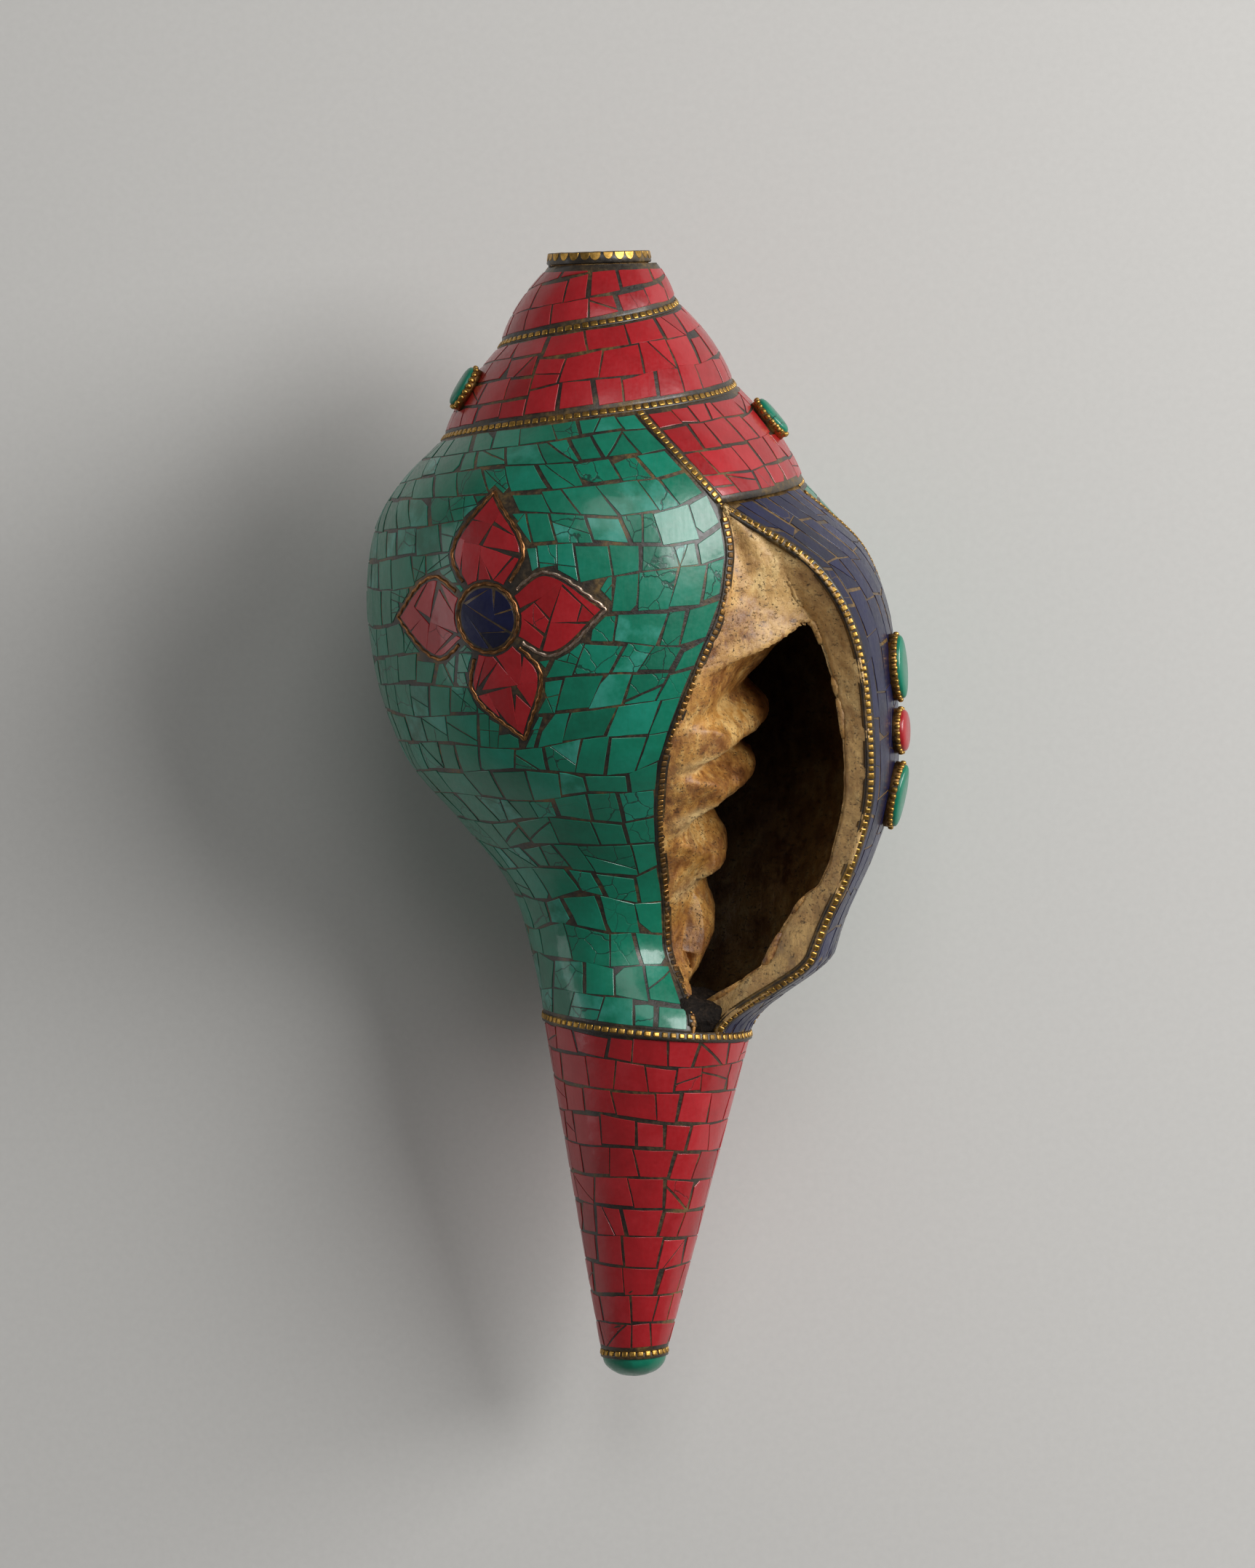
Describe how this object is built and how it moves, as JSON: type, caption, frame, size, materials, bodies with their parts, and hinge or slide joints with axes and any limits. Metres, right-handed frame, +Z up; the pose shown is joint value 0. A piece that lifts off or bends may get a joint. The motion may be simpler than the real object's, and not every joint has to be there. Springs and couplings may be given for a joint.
{
  "type": "conch trumpet",
  "caption": "Blowing trumpet made of a large spiral seashell, sawn open at its apex and covered with stone mosaic between beaded brass wires.",
  "frame": {"origin": "centre of the bounding box, on the surface that the trumpet lies on", "axes": "+Y along the shell towards the blow hole, +Z up, out of the aperture"},
  "size_m": [0.0904, 0.1896, 0.0839],
  "materials": {
    "shell": "bare sea shell (aragonite), ground lip, worn and pitted",
    "pitch": "hardened dark pitch",
    "coral": "polished red coral chips in dark grout, varnished",
    "turquoise": "polished turquoise chips in dark grout, varnished",
    "lapis": "polished lapis chips with brass-brown lines, varnished",
    "brass": "beaded and twisted wire, tarnished in its hollows"
  },
  "bodies": {
    "root": {"conch_shell": "shell", "canal_pitch_plug": "pitch", "coral_spire_mosaic": "coral", "coral_canal_mosaic": "coral", "flower_petal_stones": "coral", "flank_oval_stone": "coral", "turquoise_body_mosaic": "turquoise", "turquoise_tip_cap": "turquoise", "left_cabochon_stone": "turquoise", "right_cabochon_stone": "turquoise", "upper_leaf_stone": "turquoise", "lower_leaf_stone": "turquoise", "lapis_lip_mosaic": "lapis", "flower_centre_stone": "lapis", "flower_petal_wires": "brass", "flower_centre_wire": "brass", "spire_suture_wire": "brass", "lip_edge_wire": "brass", "columella_edge_wire": "brass", "lapis_back_wire": "brass", "canal_collar_wire": "brass", "mouth_rim_wire": "brass", "tip_collar_wire": "brass", "left_cabochon_bezel": "brass", "right_cabochon_bezel": "brass", "upper_leaf_bezel": "brass", "flank_oval_bezel": "brass", "lower_leaf_bezel": "brass"}
  },
  "joints": []
}
